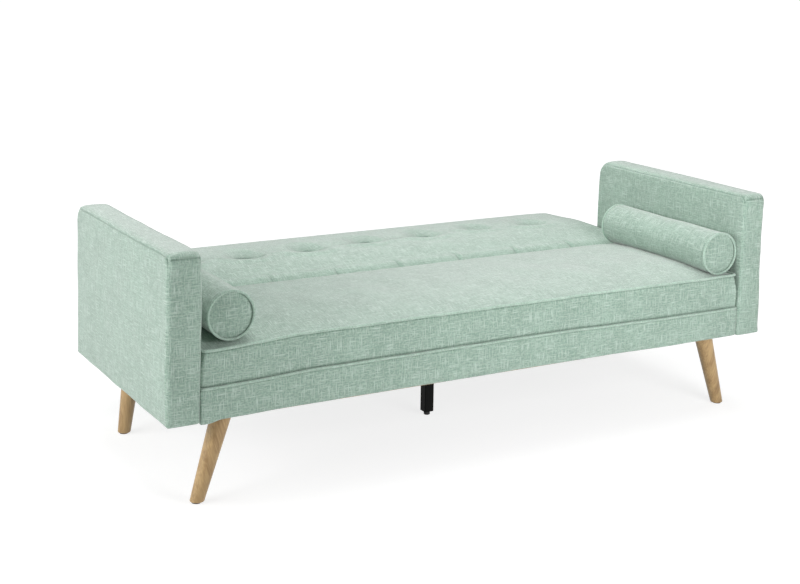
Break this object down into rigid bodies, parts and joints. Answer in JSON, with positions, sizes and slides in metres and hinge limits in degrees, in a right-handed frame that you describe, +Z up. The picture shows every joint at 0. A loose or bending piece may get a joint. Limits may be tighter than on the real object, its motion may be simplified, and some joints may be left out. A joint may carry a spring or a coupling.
{
  "type": "click clack sofa bed",
  "caption": "Arm-ended sofa whose tufted back folds flat on ratchet hinges to make a bed, on splayed wooden legs with two loose round bolsters.",
  "frame": {"origin": "on the floor, at the middle of the whole piece's length and depth as it stands open as a bed", "axes": "+X along the sofa, to the right as seen from the front; +Y from the front of the seat to the far edge of the folded-down back; +Z up"},
  "size_m": [1.86, 0.9899, 0.637],
  "materials": {
    "mint_fabric": "linen-look woven upholstery, matt",
    "lining_fabric": "black non-woven lining",
    "frame_wood": "planed softwood and plywood, bare",
    "leg_wood": "turned light hardwood, clear satin lacquer",
    "zinc_steel": "zinc plated",
    "hinge_steel": "black powder coat",
    "spring_steel": "drawn spring wire",
    "black_moulding": "black moulded plastic",
    "rubber_foot": "hard black rubber"
  },
  "bodies": {
    "base": {"arm_bolts": "zinc_steel", "arm_cover_left": "mint_fabric", "arm_cover_right": "mint_fabric", "arm_panel_left": "frame_wood", "arm_panel_right": "frame_wood", "arm_spacer_left": "frame_wood", "arm_spacer_right": "frame_wood", "arm_tee_nuts": "zinc_steel", "centre_leg": "black_moulding", "centre_leg_foot": "rubber_foot", "centre_leg_screws": "zinc_steel", "centre_rail": "frame_wood", "corner_blocks": "frame_wood", "dust_cover": "lining_fabric", "front_band": "mint_fabric", "front_rail": "frame_wood", "hinge_pin_left": "zinc_steel", "hinge_pin_right": "zinc_steel", "hinge_seat_plate_left": "hinge_steel", "hinge_seat_plate_right": "hinge_steel", "hinge_seat_screws": "zinc_steel", "hinge_washers": "zinc_steel", "leg_bolts": "zinc_steel", "leg_front_left": "leg_wood", "leg_front_right": "leg_wood", "leg_glides": "rubber_foot", "leg_rear_left": "leg_wood", "leg_rear_right": "leg_wood", "leg_tee_nuts": "zinc_steel", "pawl_pins": "zinc_steel", "pawl_springs": "spring_steel", "rear_band": "mint_fabric", "rear_rail": "frame_wood", "seat_cross_rail": "frame_wood", "seat_cushion": "mint_fabric", "seat_spring_clips": "spring_steel", "seat_spring_pad": "lining_fabric", "seat_springs": "spring_steel", "side_rail_left": "frame_wood", "side_rail_right": "frame_wood"},
    "back": {"back_cushion": "mint_fabric", "back_lining": "lining_fabric", "back_lower_rail": "frame_wood", "back_side_rail_left": "frame_wood", "back_side_rail_right": "frame_wood", "back_spring_clips": "spring_steel", "back_spring_pad": "lining_fabric", "back_springs": "spring_steel", "back_stiles": "frame_wood", "back_upper_rail": "frame_wood", "hinge_back_plate_left": "hinge_steel", "hinge_back_plate_right": "hinge_steel", "hinge_back_screws": "zinc_steel", "tuft_ties": "mint_fabric"},
    "pawl_left": {"pawl_left": "hinge_steel"},
    "pawl_right": {"pawl_right": "hinge_steel"},
    "bolster_left": {"bolster_left": "mint_fabric"},
    "bolster_right": {"bolster_right": "mint_fabric"}
  },
  "joints": [
    {"name": "back_fold", "type": "hinge", "parent": "base", "child": "back", "pos_m": [0, 0.075, 0.365], "axis": [1, 0, 0], "range_deg": [0, 75]},
    {"name": "pawl_left_swing", "type": "hinge", "parent": "base", "child": "pawl_left", "pos_m": [-0.8341, 0.033, 0.35], "axis": [1, 0, 0], "range_deg": [0, 17]},
    {"name": "pawl_right_swing", "type": "hinge", "parent": "base", "child": "pawl_right", "pos_m": [0.8341, 0.033, 0.35], "axis": [1, 0, 0], "range_deg": [0, 17]},
    {"name": "bolster_left_lift", "type": "slide", "parent": "base", "child": "bolster_left", "axis": [0, 0, 1], "range_m": [0, 0.3]},
    {"name": "bolster_right_lift", "type": "slide", "parent": "base", "child": "bolster_right", "axis": [0, 0, 1], "range_m": [0, 0.3]}
  ]
}
